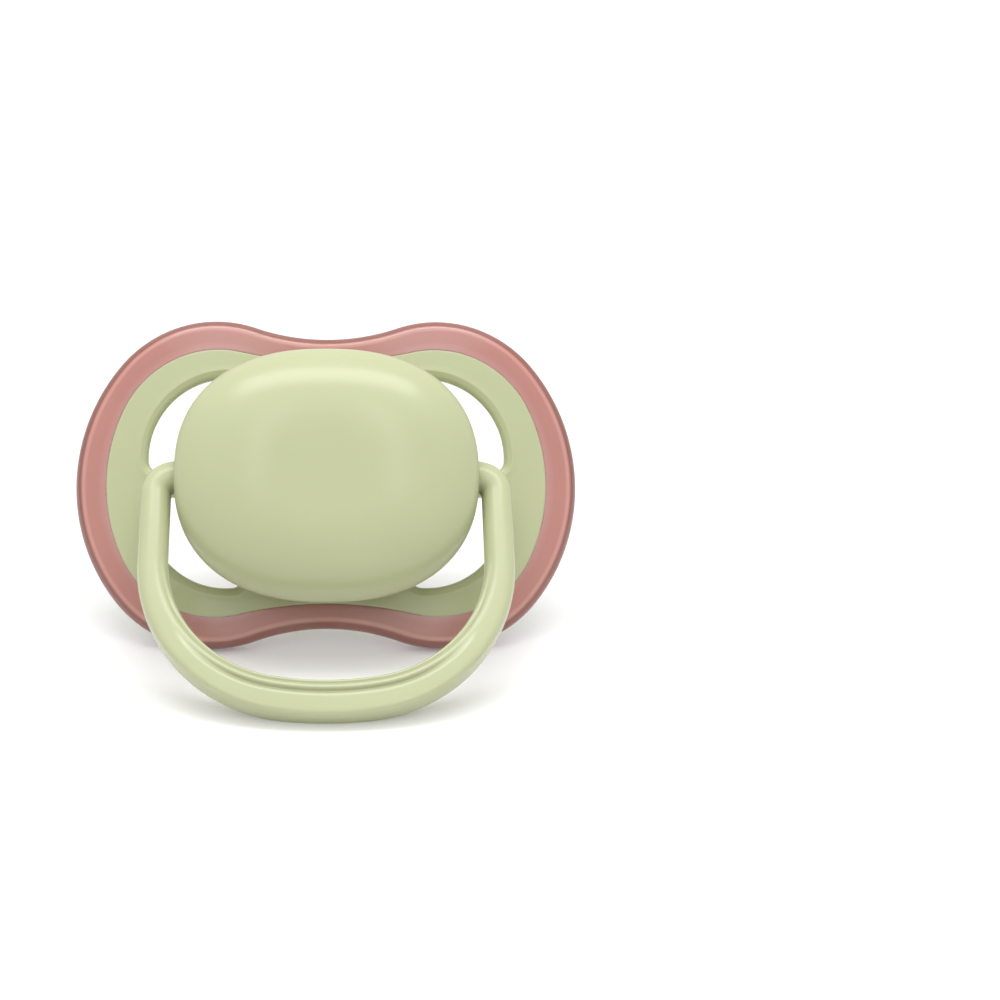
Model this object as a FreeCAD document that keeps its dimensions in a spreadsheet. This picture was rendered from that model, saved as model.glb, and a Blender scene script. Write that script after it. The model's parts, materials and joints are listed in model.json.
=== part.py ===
"""A baby's pacifier: a butterfly-shaped shield, a pillow-shaped knob, a swinging ring handle and a teat.

Everything is drawn in the shield's own frame, in millimetres: x runs along the shield's long axis, y up its
short axis and z out of its front, where the knob is. The middle of the plate's front face is that frame's
origin. The finished part leans back until it stands on the shield's two lower lobes and on the teat, with the
ring swung forward so that its bottom bar touches the ground. +Z is up and the knob faces -Y. The part's own
origin is on the ground, below the middle of everything.
"""
import FreeCAD, Part
import math
import os
import Sketcher
from FreeCAD import Placement, Rotation, Vector

CELLS = {
    # The shield's outline: end arcs, four lobe arcs and two waist arcs, each tangent to the next.
    "rim_half_width": 29.0,
    "rim_end_radius": 21.51,
    "rim_lobe_x": 12.96,
    "rim_lobe_radius": 14.34,
    "rim_waist_radius": 24.55,
    # The border between the plate and its coloured rim, seen from the front: an outline of the same kind.
    "core_half_width": 25.3,
    "core_end_radius": 20.05,
    "core_lobe_x": 12.62,
    "core_lobe_radius": 11.88,
    "core_waist_radius": 43.6,
    # The plate's layer behind the rim, which nearly reaches the edge at both ends and at the waists.
    "back_half_width": 28.3,
    "back_end_radius": 22.3,
    "back_shoulder_x": 19.9,
    "back_shoulder_radius": 3.2,
    "back_hollow_radius": 27.0,
    "back_crest_y": 13.3,
    "back_crest_radius": 3.0,
    # The shield is arched along x, so its faces are parts of cylinders, and it thickens towards its ends.
    "front_arch_radius": 161.0,
    "layer_arch_radius": 146.0,
    "back_arch_radius": 131.0,
    "plate_thickness": 3.0,
    "layer_depth": 1.5,
    "edge_round": 1.3,
    # Four curved air holes, one in each quarter, with a spoke between each two at an end.
    "hole_outer_x": 11.4,
    "hole_outer_y": 3.0,
    "hole_outer_radius": 9.1,
    "hole_inner_x": 1.0,
    "hole_inner_y": 3.5,
    "hole_inner_radius": 16.4,
    "hole_tip_radius": 1.1,
    "hole_corner_radius": 1.3,
    "spoke_half_width": 1.9,
    "spoke_radius": 60.0,
    "hole_round": 1.0,
    "passage_radius": 4.15,
    # The knob: a hollow pillow on a superelliptic outline, narrower at its foot.
    "knob_half_width": 17.0,
    "knob_half_height": 14.2,
    "knob_foot_scale": 0.9,
    "knob_wide_z": 6.0,
    "knob_front_z": 11.3,
    "knob_flat_scale": 0.3,
    "knob_wall": 1.7,
    "post_radius": 4.2,
    "post_bore_radius": 2.4,
    # The hinge that the ring swings on, with the bearing blocks inside the knob.
    "hinge_z": 3.73,
    "pin_radius": 1.95,
    "pin_clearance": 0.05,
    "mouth_radius": 2.3,
    "mouth_inner_x": 15.3,
    "bearing_half_size": 3.2,
    "bearing_inner_x": 12.4,
    "pin_end_x": 13.0,
    # The ring handle: half of its outline, in its own plane, with the hinge along x and the bar at -y.
    "ring_outer_x": 20.75,
    "ring_inner_x": 17.35,
    "ring_outer_reach": 29.2,
    "ring_inner_reach": 25.0,
    "ring_outer_corner": 18.0,
    "ring_inner_corner": 14.2,
    "ring_bar_radius": 32.0,
    "ring_elbow_radius": 4.0,
    "ring_crotch_radius": 0.4,
    "ring_stub_x": 16.2,
    "ring_thickness": 3.6,
    "ring_round": 1.3,
    # The hollow silicone teat; its lengths run back from the plate's back face.
    "teat_length": 28.5,
    "teat_bulb_radius": 6.93,
    "teat_bulb_at": 18.8,
    "teat_front_curve": 13.0,
    "teat_side_curve": 17.5,
    "teat_neck_curve": 30.0,
    "teat_neck_radius": 4.03,
    "teat_wall": 1.1,
    "teat_flange_radius": 6.6,
    "teat_flange_thickness": 1.2,
    # The plug inside the neck, whose disc clamps the teat's flange to the plate.
    "plug_disc_radius": 7.0,
    "plug_disc_thickness": 1.4,
    "plug_radius": 2.88,
    "plug_bore_radius": 2.0,
    "plug_reach": 2.8,
    "plug_collar": 0.5,
    "tab_half_top": 1.2,
    "tab_half_foot": 2.1,
    "slot_half_width": 0.75,
    "slot_height": 0.5,
    "slot_gap": 0.45,
}
KNOB_POWER = 2.35            # exponent of the knob's outline; 2 would be an ellipse
KNOB_CROWN_POWER = 2.2       # exponents of the knob's crown, seen in section
KNOB_EDGE_POWER = 2.0
FAR = 60.0                   # longer than the whole part, for cutters that pass right through
SLAB_MARGIN = 4.0            # how far an arched slab reaches past the shield's ends
TILT_STEPS = 40              # halvings in the search for the angles at which the part rests


def make_sheet(doc):
    """The driving dimensions, one aliased cell each."""
    sheet = doc.addObject("Spreadsheet::Sheet", "Sizes")
    for row, (alias, value) in enumerate(CELLS.items(), start=1):
        sheet.set(f"A{row}", alias)
        sheet.set(f"B{row}", str(value))
        sheet.setAlias(f"B{row}", alias)
    doc.recompute()
    return sheet


def on_sheet(formula):
    """The formula, such as 'teat_length - teat_wall', with the sheet's name before each cell's."""
    return " ".join(f"Sizes.{word}" if word in CELLS else word for word in formula.split())


def worth(formula):
    """What a formula of cells and numbers joined by + and - comes to."""
    total = 0.0
    sign = 1.0
    for word in formula.split():
        if word in ("+", "-"):
            sign = 1.0 if word == "+" else -1.0
        else:
            total += sign * (CELLS[word] if word in CELLS else float(word))
    return total


def new_body(doc, name):
    """An empty body."""
    return doc.addObject("PartDesign::Body", name)


def new_sketch(body, name, plane):
    """A sketch on one of the body's own origin planes."""
    sketch = body.newObject("Sketcher::SketchObject", name)
    support = next(item for item in body.Origin.OriginFeatures if item.Role == plane)
    sketch.AttachmentSupport = [(support, "")]
    sketch.MapMode = "FlatFace"
    return sketch


def relate(sketch, kind, *places):
    """A constraint with no size."""
    sketch.addConstraint(Sketcher.Constraint(kind, *places))


def measure(sketch, formula, kind, *places):
    """A constraint whose size is a formula in the sheet's cells."""
    index = sketch.addConstraint(Sketcher.Constraint(kind, *places, worth(formula)))
    sketch.setExpression(f"Constraints[{index}]", on_sheet(formula))


START, END, CENTRE = 1, 2, 3         # a sketched piece's named points
ORIGIN = (-1, 1)                     # the sketch's origin, as a constraint names it
X_AXIS, Y_AXIS = -1, -2


def join(sketch, kind, first, second):
    """Joins the two nearest ends of two sketched pieces, tangent or merely coincident."""
    def gap(pair):
        return sketch.getPoint(first, pair[0]).distanceToPoint(sketch.getPoint(second, pair[1]))

    here, there = min(((here, there) for here in (START, END) for there in (START, END)), key=gap)
    relate(sketch, kind, first, here, second, there)


def add_tangent_ring(sketch, circles):
    """Sketches a closed outline of tangent arcs, anticlockwise, from circles (x, y, radius).

    A negative radius marks a hollow, which the outline passes round the other way.
    """
    joints = []
    for (x1, y1, r1), (x2, y2, r2) in zip(circles, circles[1:] + circles[:1]):
        share = r1 / (r1 - r2)
        joints.append((x1 + (x2 - x1) * share, y1 + (y2 - y1) * share))
    pieces = []
    for (x, y, radius), before, after in zip(circles, joints[-1:] + joints[:-1], joints):
        first = math.atan2(before[1] - y, before[0] - x)
        last = math.atan2(after[1] - y, after[0] - x)
        if radius < 0:
            first, last = last, first
        if last < first:
            last += 2 * math.pi
        circle = Part.Circle(Vector(x, y, 0), Vector(0, 0, 1), abs(radius))
        pieces.append(sketch.addGeometry(Part.ArcOfCircle(circle, first, last), False))
    for here, there in zip(pieces, pieces[1:] + pieces[:1]):
        join(sketch, "Tangent", here, there)
    return pieces


def nestled(first, second, radius, side):
    """A circle of this radius that is tangent to two others; side, 1 or -1, picks which of the two."""
    (x1, y1, r1), (x2, y2, r2) = first, second
    reach1 = abs(r1 - radius)
    reach2 = abs(r2 - radius)
    span = math.hypot(x2 - x1, y2 - y1)
    along = (reach1 ** 2 - reach2 ** 2 + span ** 2) / (2 * span)
    across = side * math.sqrt(reach1 ** 2 - along ** 2)
    ux, uy = (x2 - x1) / span, (y2 - y1) / span
    return (x1 + along * ux - across * uy, y1 + along * uy + across * ux, radius)


def pad(body, sketch, length, both_ways=True):
    """Pads a sketch by a formula, on both sides of its plane or along its normal."""
    feature = body.newObject("PartDesign::Pad", sketch.Name + "Pad")
    feature.Profile = sketch
    feature.setExpression("Length", on_sheet(length))
    if both_ways:
        feature.SideType = "Symmetric"
    return feature


def lobed_prism(doc, name, prefix):
    """A tall prism on a butterfly outline of eight tangent arcs."""
    body = new_body(doc, name)
    sketch = new_sketch(body, name + "Outline", "XY_Plane")
    half_width, end_radius = CELLS[prefix + "_half_width"], CELLS[prefix + "_end_radius"]
    lobe_x, lobe_radius = CELLS[prefix + "_lobe_x"], CELLS[prefix + "_lobe_radius"]
    waist_radius = CELLS[prefix + "_waist_radius"]
    end_x = half_width - end_radius
    lobe_y = math.sqrt((end_radius - lobe_radius) ** 2 - (lobe_x - end_x) ** 2)
    waist_y = lobe_y + math.sqrt((lobe_radius + waist_radius) ** 2 - lobe_x ** 2)
    right, upper_right, top, upper_left, left, lower_left, bottom, lower_right = add_tangent_ring(sketch, [
        (end_x, 0, end_radius),
        (lobe_x, lobe_y, lobe_radius),
        (0, waist_y, -waist_radius),
        (-lobe_x, lobe_y, lobe_radius),
        (-end_x, 0, end_radius),
        (-lobe_x, -lobe_y, lobe_radius),
        (0, -waist_y, -waist_radius),
        (lobe_x, -lobe_y, lobe_radius),
    ])
    measure(sketch, prefix + "_end_radius", "Radius", right)
    measure(sketch, prefix + "_lobe_radius", "Radius", upper_right)
    measure(sketch, prefix + "_waist_radius", "Radius", top)
    relate(sketch, "Equal", right, left)
    for lobe in (upper_left, lower_left, lower_right):
        relate(sketch, "Equal", upper_right, lobe)
    relate(sketch, "Equal", top, bottom)
    relate(sketch, "PointOnObject", right, CENTRE, X_AXIS)
    measure(sketch, f"{prefix}_half_width - {prefix}_end_radius", "DistanceX", *ORIGIN, right, CENTRE)
    relate(sketch, "Symmetric", right, CENTRE, left, CENTRE, *ORIGIN)
    measure(sketch, prefix + "_lobe_x", "DistanceX", *ORIGIN, upper_right, CENTRE)
    relate(sketch, "Vertical", upper_right, CENTRE, lower_right, CENTRE)
    for waist in (top, bottom):
        relate(sketch, "PointOnObject", waist, CENTRE, Y_AXIS)
    pad(body, sketch, "knob_front_z + knob_front_z + knob_front_z")
    return body


def back_prism(doc):
    """A tall prism on the outline of the plate's back layer: two fans that meet in a crest at each waist."""
    body = new_body(doc, "BackPrism")
    sketch = new_sketch(body, "BackOutline", "XY_Plane")
    end_radius = CELLS["back_end_radius"]
    end_x = CELLS["back_half_width"] - end_radius
    shoulder_x, shoulder_radius = CELLS["back_shoulder_x"], CELLS["back_shoulder_radius"]
    shoulder_y = math.sqrt((end_radius - shoulder_radius) ** 2 - (shoulder_x - end_x) ** 2)
    shoulder = (shoulder_x, shoulder_y, shoulder_radius)
    crest = (0, CELLS["back_crest_y"], CELLS["back_crest_radius"])
    hollow_x, hollow_y, hollow_radius = nestled(shoulder, crest, -CELLS["back_hollow_radius"], -1)
    quarter = [shoulder, (hollow_x, hollow_y, hollow_radius)]
    mirrored = [(-x, y, radius) for x, y, radius in reversed(quarter)]
    upper = [(end_x, 0, end_radius)] + quarter + [crest] + mirrored
    pieces = add_tangent_ring(sketch, upper + [(-x, -y, radius) for x, y, radius in upper])
    right, shoulder1, hollow1, top, hollow2, shoulder2 = pieces[:6]
    left, shoulder3, hollow3, bottom, hollow4, shoulder4 = pieces[6:]
    measure(sketch, "back_end_radius", "Radius", right)
    measure(sketch, "back_shoulder_radius", "Radius", shoulder1)
    measure(sketch, "back_hollow_radius", "Radius", hollow1)
    measure(sketch, "back_crest_radius", "Radius", top)
    relate(sketch, "Equal", right, left)
    relate(sketch, "Equal", top, bottom)
    for piece in (shoulder2, shoulder3, shoulder4):
        relate(sketch, "Equal", shoulder1, piece)
    for piece in (hollow2, hollow3, hollow4):
        relate(sketch, "Equal", hollow1, piece)
    relate(sketch, "PointOnObject", right, CENTRE, X_AXIS)
    measure(sketch, "back_half_width - back_end_radius", "DistanceX", *ORIGIN, right, CENTRE)
    relate(sketch, "Symmetric", right, CENTRE, left, CENTRE, *ORIGIN)
    measure(sketch, "back_shoulder_x", "DistanceX", *ORIGIN, shoulder1, CENTRE)
    relate(sketch, "Vertical", shoulder1, CENTRE, shoulder4, CENTRE)
    relate(sketch, "Horizontal", shoulder1, CENTRE, shoulder2, CENTRE)
    relate(sketch, "Horizontal", shoulder4, CENTRE, shoulder3, CENTRE)
    relate(sketch, "PointOnObject", top, CENTRE, Y_AXIS)
    measure(sketch, "back_crest_y", "DistanceY", *ORIGIN, top, CENTRE)
    relate(sketch, "Symmetric", top, CENTRE, bottom, CENTRE, *ORIGIN)
    pad(body, sketch, "knob_front_z + knob_front_z + knob_front_z")
    return body


def arched_slab(doc, name, upper_radius, upper_drop, lower_radius, lower_drop):
    """A slab between two arches about the short axis; a drop is how far below z = 0 an arch's crown is."""
    body = new_body(doc, name)
    sketch = new_sketch(body, name + "Section", "XZ_Plane")
    half = CELLS["rim_half_width"] + SLAB_MARGIN
    arcs = []
    corners = []
    for radius, drop in ((upper_radius, upper_drop), (lower_radius, lower_drop)):
        centre_z = -worth(drop) - CELLS[radius]
        lean = math.asin(half / CELLS[radius])
        circle = Part.Circle(Vector(0, centre_z, 0), Vector(0, 0, 1), CELLS[radius])
        arc = sketch.addGeometry(Part.ArcOfCircle(circle, math.pi / 2 - lean, math.pi / 2 + lean), False)
        arcs.append(arc)
        corners.append((sketch.getPoint(arc, START), sketch.getPoint(arc, END)))
        measure(sketch, radius, "Radius", arc)
        relate(sketch, "PointOnObject", arc, CENTRE, Y_AXIS)
        measure(sketch, f"{drop} + {radius}", "DistanceY", arc, CENTRE, *ORIGIN)
    for end in (0, 1):
        side = sketch.addGeometry(Part.LineSegment(corners[0][end], corners[1][end]), False)
        for arc in arcs:
            join(sketch, "Coincident", side, arc)
        relate(sketch, "Vertical", side)
        away = (*ORIGIN, side, START) if end == 0 else (side, START, *ORIGIN)
        measure(sketch, f"rim_half_width + {SLAB_MARGIN}", "DistanceX", *away)
    pad(body, sketch, "rim_half_width + rim_half_width")
    return body


def negated(formula):
    """The formula with every sign turned round."""
    swapped = {"+": "-", "-": "+"}
    return "0 - " + " ".join(swapped.get(word, word) for word in formula.split())


def place(sketch, piece, point, x_formula, y_formula):
    """Places a sketched point by a formula for each coordinate."""
    for formula, kind, axis in ((x_formula, "DistanceX", Y_AXIS), (y_formula, "DistanceY", X_AXIS)):
        value = worth(formula)
        if abs(value) < 1e-9:
            relate(sketch, "PointOnObject", piece, point, axis)
        elif value > 0:
            measure(sketch, formula, kind, *ORIGIN, piece, point)
        else:
            measure(sketch, negated(formula), kind, piece, point, *ORIGIN)


def add_polygon(sketch, corners):
    """Sketches a closed polygon whose corners are pairs of formulas."""
    points = [Vector(worth(x), worth(y), 0) for x, y in corners]
    lines = [
        sketch.addGeometry(Part.LineSegment(here, there), False)
        for here, there in zip(points, points[1:] + points[:1])
    ]
    for line, following in zip(lines, lines[1:] + lines[:1]):
        relate(sketch, "Coincident", line, END, following, START)
    for line, (x_formula, y_formula) in zip(lines, corners):
        place(sketch, line, START, x_formula, y_formula)


def revolve(body, kind, sketch):
    """A full turn of a sketch about its own vertical axis: a Revolution, or a Groove that cuts."""
    feature = body.newObject("PartDesign::" + kind, sketch.Name + kind)
    feature.Profile = sketch
    feature.ReferenceAxis = (sketch, ["V_Axis"])
    feature.Angle = 360.0
    return feature


def combine(doc, kind, name, base, tool):
    """A Part boolean of two objects: Common, Cut or Fuse."""
    feature = doc.addObject("Part::" + kind, name)
    feature.Base = base
    feature.Tool = tool
    return feature


def rounded(doc, name, base, cell, chooses):
    """Rounds the edges of an object that a test picks out, by a radius from the sheet."""
    doc.recompute()
    feature = doc.addObject("Part::Fillet", name)
    feature.Base = base
    radius = CELLS[cell]
    feature.Edges = [
        (number, radius, radius)
        for number, edge in enumerate(base.Shape.Edges, start=1)
        if chooses(edge)
    ]
    return feature


def is_upright(edge):
    """Whether an edge runs straight along z."""
    box = edge.BoundBox
    return box.XLength < 1e-6 and box.YLength < 1e-6


def air_hole(doc):
    """A tall cutter for the air hole in the quarter where x and y are positive."""
    body = new_body(doc, "AirHole")
    sketch = new_sketch(body, "AirHoleOutline", "XY_Plane")
    outer = (CELLS["hole_outer_x"], CELLS["hole_outer_y"], CELLS["hole_outer_radius"])
    inner = (CELLS["hole_inner_x"], -CELLS["hole_inner_y"], -CELLS["hole_inner_radius"])
    spoke_y = CELLS["spoke_half_width"] - CELLS["spoke_radius"]
    spoke = (CELLS["hole_outer_x"], spoke_y, -CELLS["spoke_radius"])
    tip = nestled(outer, inner, CELLS["hole_tip_radius"], -1)
    inner_corner = nestled(inner, spoke, CELLS["hole_corner_radius"], 1)
    outer_corner = nestled(spoke, outer, CELLS["hole_corner_radius"], -1)
    pieces = add_tangent_ring(sketch, [outer, tip, inner, inner_corner, spoke, outer_corner])
    radii = ("hole_outer_radius", "hole_tip_radius", "hole_inner_radius", "hole_corner_radius",
             "spoke_radius", "hole_corner_radius")
    for piece, cell in zip(pieces, radii):
        measure(sketch, cell, "Radius", piece)
    place(sketch, pieces[0], CENTRE, "hole_outer_x", "hole_outer_y")
    place(sketch, pieces[2], CENTRE, "hole_inner_x", "0 - hole_inner_y")
    place(sketch, pieces[4], CENTRE, "hole_outer_x", "spoke_half_width - spoke_radius")
    pad(body, sketch, "knob_front_z + knob_front_z")
    return body


def mirrored(doc, name, source, normal):
    """A mirror image across a plane through the origin."""
    feature = doc.addObject("Part::Mirroring", name)
    feature.Source = source
    feature.Normal = normal
    return feature


def shield(doc):
    """The plate with its air holes, and the rim that is moulded round it."""
    whole_slab = arched_slab(doc, "WholeSlab", "front_arch_radius", "0",
                             "back_arch_radius", "plate_thickness")
    back_slab = arched_slab(doc, "BackSlab", "layer_arch_radius", "layer_depth",
                            "back_arch_radius", "plate_thickness")
    blank = combine(doc, "Common", "ShieldBlank", lobed_prism(doc, "RimPrism", "rim"), whole_slab)
    form = rounded(doc, "ShieldForm", blank, "edge_round", lambda edge: not is_upright(edge))
    front_core = combine(doc, "Common", "FrontCore", lobed_prism(doc, "CorePrism", "core"), whole_slab)
    back_core = combine(doc, "Common", "BackCore", back_prism(doc), back_slab)
    core = combine(doc, "Fuse", "Core", front_core, back_core)
    rim = combine(doc, "Cut", "ShieldRim", form, core)
    trimmed = combine(doc, "Common", "TrimmedCore", core, form)

    hole = air_hole(doc)
    pair = combine(doc, "Fuse", "HolePair", hole, mirrored(doc, "HoleLeft", hole, Vector(1, 0, 0)))
    holes = combine(doc, "Fuse", "Holes", pair, mirrored(doc, "HolesLower", pair, Vector(0, 1, 0)))
    holed = combine(doc, "Cut", "HoledPlate", trimmed, holes)

    def on_a_hole(edge):
        middle = edge.valueAt((edge.FirstParameter + edge.LastParameter) / 2)
        return not is_upright(edge) and holes.Shape.isInside(middle, 1e-4, True)

    softened = rounded(doc, "SoftenedPlate", holed, "hole_round", on_a_hole)
    passage = doc.addObject("Part::Cylinder", "Passage")
    passage.setExpression("Radius", "Sizes.passage_radius")
    passage.setExpression("Height", "Sizes.plate_thickness * 4")
    passage.setExpression("Placement.Base.z", "-Sizes.plate_thickness * 2")
    plate = combine(doc, "Cut", "ShieldPlate", softened, passage)
    return plate, rim, form


def superellipse(half_width, half_height, z):
    """A closed smooth wire on a superellipse at height z."""
    count = 32
    points = []
    for index in range(count):
        angle = 2 * math.pi * index / count
        across, up = math.cos(angle), math.sin(angle)
        x = math.copysign(abs(across) ** (2 / KNOB_POWER), across) * half_width
        y = math.copysign(abs(up) ** (2 / KNOB_POWER), up) * half_height
        points.append(Vector(x, y, z))
    curve = Part.BSplineCurve()
    curve.interpolate(points, PeriodicFlag=True)
    return Part.Wire(curve.toShape())


def pillow(sheet, inset):
    """The knob's solid, or with an inset its hollow: a loft from foot over widest line to front."""
    half_width = sheet.knob_half_width - inset
    half_height = sheet.knob_half_height - inset
    wide_z = sheet.knob_wide_z
    crown = sheet.knob_front_z - inset - wide_z
    flat = sheet.knob_flat_scale
    foot_z = -sheet.plate_thickness
    levels = []
    for step in range(5):
        z = foot_z + (wide_z - foot_z) * step / 4
        levels.append((z, 1 - (1 - sheet.knob_foot_scale) * ((wide_z - z) / wide_z) ** 2))
    for scale in (0.985, 0.95, 0.89, 0.8, 0.66, 0.48, flat):
        share = (scale - flat) / (1 - flat)
        rise = (1 - share ** KNOB_CROWN_POWER) ** (1 / KNOB_EDGE_POWER)
        levels.append((wide_z + crown * rise, scale))
    wires = [superellipse(half_width * scale, half_height * scale, z) for z, scale in levels]
    return Part.makeLoft(wires, True, False)


def knob_cover(doc, sheet, form):
    """The hollow cover, with a bearing block for each hinge pin and a post that holds the plug down."""
    outside = pillow(sheet, 0)
    solid = outside.cut(pillow(sheet, sheet.knob_wall))
    size = sheet.bearing_half_size
    depth = sheet.knob_half_width - sheet.bearing_inner_x
    for side in (1, -1):
        corner = Vector(min(side * sheet.bearing_inner_x, side * sheet.knob_half_width), -size,
                        sheet.hinge_z - size)
        block = Part.makeBox(depth, 2 * size, 2 * size, corner)
        solid = solid.fuse(block.common(outside))
    post_z = sheet.teat_flange_thickness + sheet.plug_disc_thickness
    post_length = sheet.knob_front_z - sheet.knob_wall / 2 - post_z
    post = Part.makeCylinder(sheet.post_radius, post_length, Vector(0, 0, post_z))
    post = post.cut(Part.makeCylinder(sheet.post_bore_radius, post_length - sheet.knob_wall,
                                      Vector(0, 0, post_z)))
    solid = solid.fuse(post)
    for side in (1, -1):
        along = Vector(side, 0, 0)
        bore_start = Vector(side * (sheet.bearing_inner_x - 1), 0, sheet.hinge_z)
        solid = solid.cut(Part.makeCylinder(sheet.pin_radius + sheet.pin_clearance, FAR, bore_start, along))
        mouth_start = Vector(side * sheet.mouth_inner_x, 0, sheet.hinge_z)
        solid = solid.cut(Part.makeCylinder(sheet.mouth_radius, FAR, mouth_start, along))
    solid = solid.cut(form.Shape)
    below = Part.makeBox(FAR, FAR, FAR, Vector(-FAR / 2, -FAR / 2, -FAR - sheet.plate_thickness / 2))
    solid = solid.cut(below)
    cover = doc.addObject("Part::Feature", "KnobCover")
    cover.Shape = max(solid.Solids, key=lambda piece: piece.Volume)
    return cover


def ring_outline(sketch):
    """The right half of the ring's outline: arcs and lines from the bar's middle to the end of the stub."""
    bar = CELLS["ring_bar_radius"]
    outer_bar_y = bar - CELLS["ring_outer_reach"]
    inner_bar_y = bar - CELLS["ring_inner_reach"]
    outer_x, inner_x = CELLS["ring_outer_x"], CELLS["ring_inner_x"]
    stub_x, pin_radius = CELLS["ring_stub_x"], CELLS["pin_radius"]
    elbow, crotch = CELLS["ring_elbow_radius"], CELLS["ring_crotch_radius"]

    def add_arc(x, y, radius, first, last):
        circle = Part.Circle(Vector(x, y, 0), Vector(0, 0, 1), radius)
        return sketch.addGeometry(Part.ArcOfCircle(circle, first, last), False)

    def add_line(x1, y1, x2, y2):
        return sketch.addGeometry(Part.LineSegment(Vector(x1, y1, 0), Vector(x2, y2, 0)), False)

    def add_side(bar_y, x, corner, arm_top):
        """A bar arc, a corner arc and an arm line, each tangent to the next."""
        corner_x = x - corner
        corner_y = bar_y - math.sqrt((bar - corner) ** 2 - corner_x ** 2)
        meeting = math.atan2(corner_y - bar_y, corner_x)
        bar_arc = add_arc(0, bar_y, bar, -math.pi / 2, meeting)
        corner_arc = add_arc(corner_x, corner_y, corner, meeting, 0)
        return bar_arc, corner_arc, add_line(x, corner_y, x, arm_top)

    outer_bar, outer_corner, outer_arm = add_side(
        outer_bar_y, outer_x, CELLS["ring_outer_corner"], pin_radius - elbow)
    inner_bar, inner_corner, inner_arm = add_side(
        inner_bar_y, inner_x, CELLS["ring_inner_corner"], -pin_radius - crotch)
    elbow_arc = add_arc(outer_x - elbow, pin_radius - elbow, elbow, 0, math.pi / 2)
    crotch_arc = add_arc(inner_x - crotch, -pin_radius - crotch, crotch, 0, math.pi / 2)
    stub_top = add_line(outer_x - elbow, pin_radius, stub_x, pin_radius)
    stub_end = add_line(stub_x, pin_radius, stub_x, -pin_radius)
    stub_foot = add_line(stub_x, -pin_radius, inner_x - crotch, -pin_radius)
    seam = add_line(0, -CELLS["ring_outer_reach"], 0, -CELLS["ring_inner_reach"])

    smooth_run = (outer_bar, outer_corner, outer_arm, elbow_arc, stub_top)
    inner_run = (stub_foot, crotch_arc, inner_arm, inner_corner, inner_bar)
    for run in (smooth_run, inner_run):
        for here, there in zip(run, run[1:]):
            join(sketch, "Tangent", here, there)
    for here, there in ((stub_top, stub_end), (stub_end, stub_foot), (inner_bar, seam), (seam, outer_bar)):
        join(sketch, "Coincident", here, there)
    for line in (stub_top, stub_foot):
        relate(sketch, "Horizontal", line)
    for line in (stub_end, outer_arm, inner_arm, seam):
        relate(sketch, "Vertical", line)
    for arc, cell in ((outer_bar, "ring_bar_radius"), (inner_bar, "ring_bar_radius"),
                      (outer_corner, "ring_outer_corner"), (inner_corner, "ring_inner_corner"),
                      (elbow_arc, "ring_elbow_radius"), (crotch_arc, "ring_crotch_radius")):
        measure(sketch, cell, "Radius", arc)
    relate(sketch, "PointOnObject", outer_bar, CENTRE, Y_AXIS)
    relate(sketch, "PointOnObject", inner_bar, CENTRE, Y_AXIS)
    place(sketch, seam, START, "0", "0 - ring_outer_reach")
    measure(sketch, "ring_inner_reach", "DistanceY", seam, END, *ORIGIN)
    measure(sketch, "ring_outer_x", "DistanceX", *ORIGIN, outer_arm, START)
    measure(sketch, "ring_inner_x", "DistanceX", *ORIGIN, inner_arm, START)
    place(sketch, stub_end, START, "ring_stub_x", "pin_radius")
    measure(sketch, "pin_radius", "DistanceY", stub_end, END, *ORIGIN)


def ring_handle(doc):
    """The ring, one moulding with its two pins, in its own plane with the hinge along x."""
    body = new_body(doc, "RingHandle")
    outline = new_sketch(body, "RingOutline", "XY_Plane")
    ring_outline(outline)
    half = pad(body, outline, "ring_thickness")
    both = body.newObject("PartDesign::Mirrored", "RingBothSides")
    both.Originals = [half]
    mirror_plane = next(item for item in body.Origin.OriginFeatures if item.Role == "YZ_Plane")
    both.MirrorPlane = (mirror_plane, [""])
    body.Tip = both
    doc.recompute()
    half_thickness = CELLS["ring_thickness"] / 2
    names = []
    for number, edge in enumerate(both.Shape.Edges, start=1):
        box = edge.BoundBox
        flat = abs(abs(box.Center.z) - half_thickness) < 1e-6 and box.ZLength < 1e-6
        at_stub_end = box.XLength < 1e-6 and abs(abs(box.Center.x) - CELLS["ring_stub_x"]) < 1e-6
        if flat and not at_stub_end:
            names.append(f"Edge{number}")
    soft = body.newObject("PartDesign::Fillet", "RingRounding")
    soft.Base = (both, names)
    soft.setExpression("Radius", "Sizes.ring_round")
    body.Tip = soft
    circle_sketch = new_sketch(body, "PinSection", "YZ_Plane")
    circle_sketch.setExpression("AttachmentOffset.Base.z", "Sizes.pin_end_x")
    pin_circle = Part.Circle(Vector(0, 0, 0), Vector(0, 0, 1), CELLS["pin_radius"])
    circle = circle_sketch.addGeometry(pin_circle, False)
    relate(circle_sketch, "Coincident", circle, CENTRE, *ORIGIN)
    measure(circle_sketch, "pin_radius", "Radius", circle)
    pin = pad(body, circle_sketch, "ring_outer_x - ring_elbow_radius - pin_end_x", both_ways=False)
    pins = body.newObject("PartDesign::Mirrored", "PinsBothSides")
    pins.Originals = [pin]
    pins.MirrorPlane = (mirror_plane, [""])
    body.Tip = pins
    return body


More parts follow.
